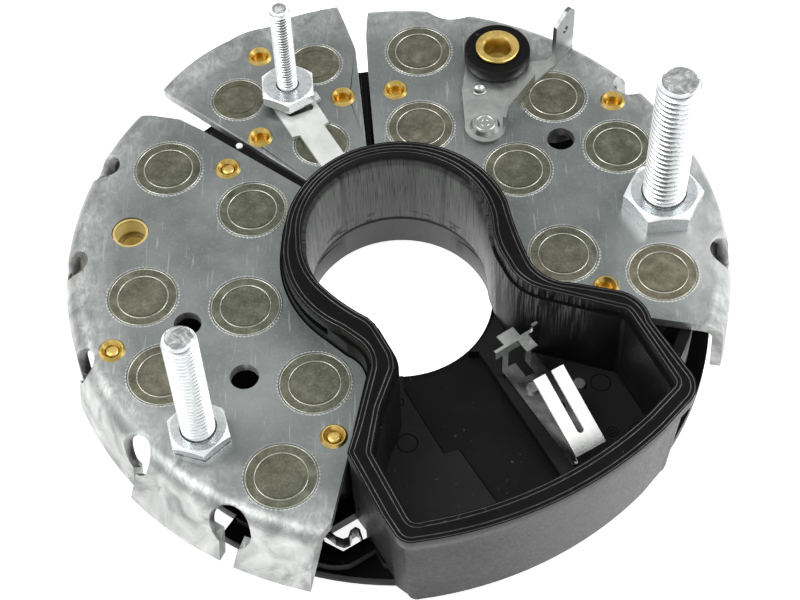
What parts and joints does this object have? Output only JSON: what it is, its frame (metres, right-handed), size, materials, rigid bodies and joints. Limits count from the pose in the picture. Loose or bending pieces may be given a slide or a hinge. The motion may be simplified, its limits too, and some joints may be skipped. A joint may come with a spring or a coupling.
{
  "type": "alternator rectifier",
  "caption": "Ring-shaped diode plate assembly for an alternator: aluminium heat sinks with press-fit diodes on a black carrier with a central tube and a brush pocket.",
  "frame": {"origin": "on the central tube's axis, level with the tube's lower end", "axes": "+Z along the tube's axis, away from the alternator; +Y from the brush pocket towards the middle plate; +X towards the M8 stud's side"},
  "size_m": [0.1232, 0.1257, 0.0557],
  "materials": {
    "black_plastic": "satin moulded",
    "aluminium_sheet": "satin, speckled and scuffed",
    "nickel_face": "satin nickel plate",
    "brass": "bright",
    "zinc_steel": "bright zinc plate",
    "tin_sheet": "bright tin plate",
    "white_plastic": "matte"
  },
  "bodies": {
    "root": {"terminal_carrier": "black_plastic", "left_plate": "aluminium_sheet", "middle_plate": "aluminium_sheet", "right_plate": "aluminium_sheet", "diode_left_1": "nickel_face", "diode_left_2": "nickel_face", "diode_left_3": "nickel_face", "diode_left_4": "nickel_face", "diode_left_5": "nickel_face", "diode_left_6": "nickel_face", "diode_left_7": "nickel_face", "diode_right_1": "nickel_face", "diode_right_2": "nickel_face", "diode_right_3": "nickel_face", "diode_right_4": "nickel_face", "diode_right_5": "nickel_face", "diode_right_6": "nickel_face", "diode_right_7": "nickel_face", "diode_exciter_1": "nickel_face", "diode_exciter_2": "nickel_face", "diode_exciter_3": "nickel_face", "brass_eyelets": "brass", "stud_m8": "zinc_steel", "collar_m8": "zinc_steel", "stud_m6": "zinc_steel", "nut_m6": "zinc_steel", "stud_m4": "zinc_steel", "nut_m4": "zinc_steel", "exciter_strip": "tin_sheet", "blade_terminal": "tin_sheet", "insulating_bush": "black_plastic", "bush_sleeve": "brass", "brass_sleeve": "brass", "brush_contact": "tin_sheet", "contact_rivets": "tin_sheet", "pocket_clip": "tin_sheet", "spring_clip": "tin_sheet", "locating_peg": "white_plastic"}
  },
  "joints": []
}
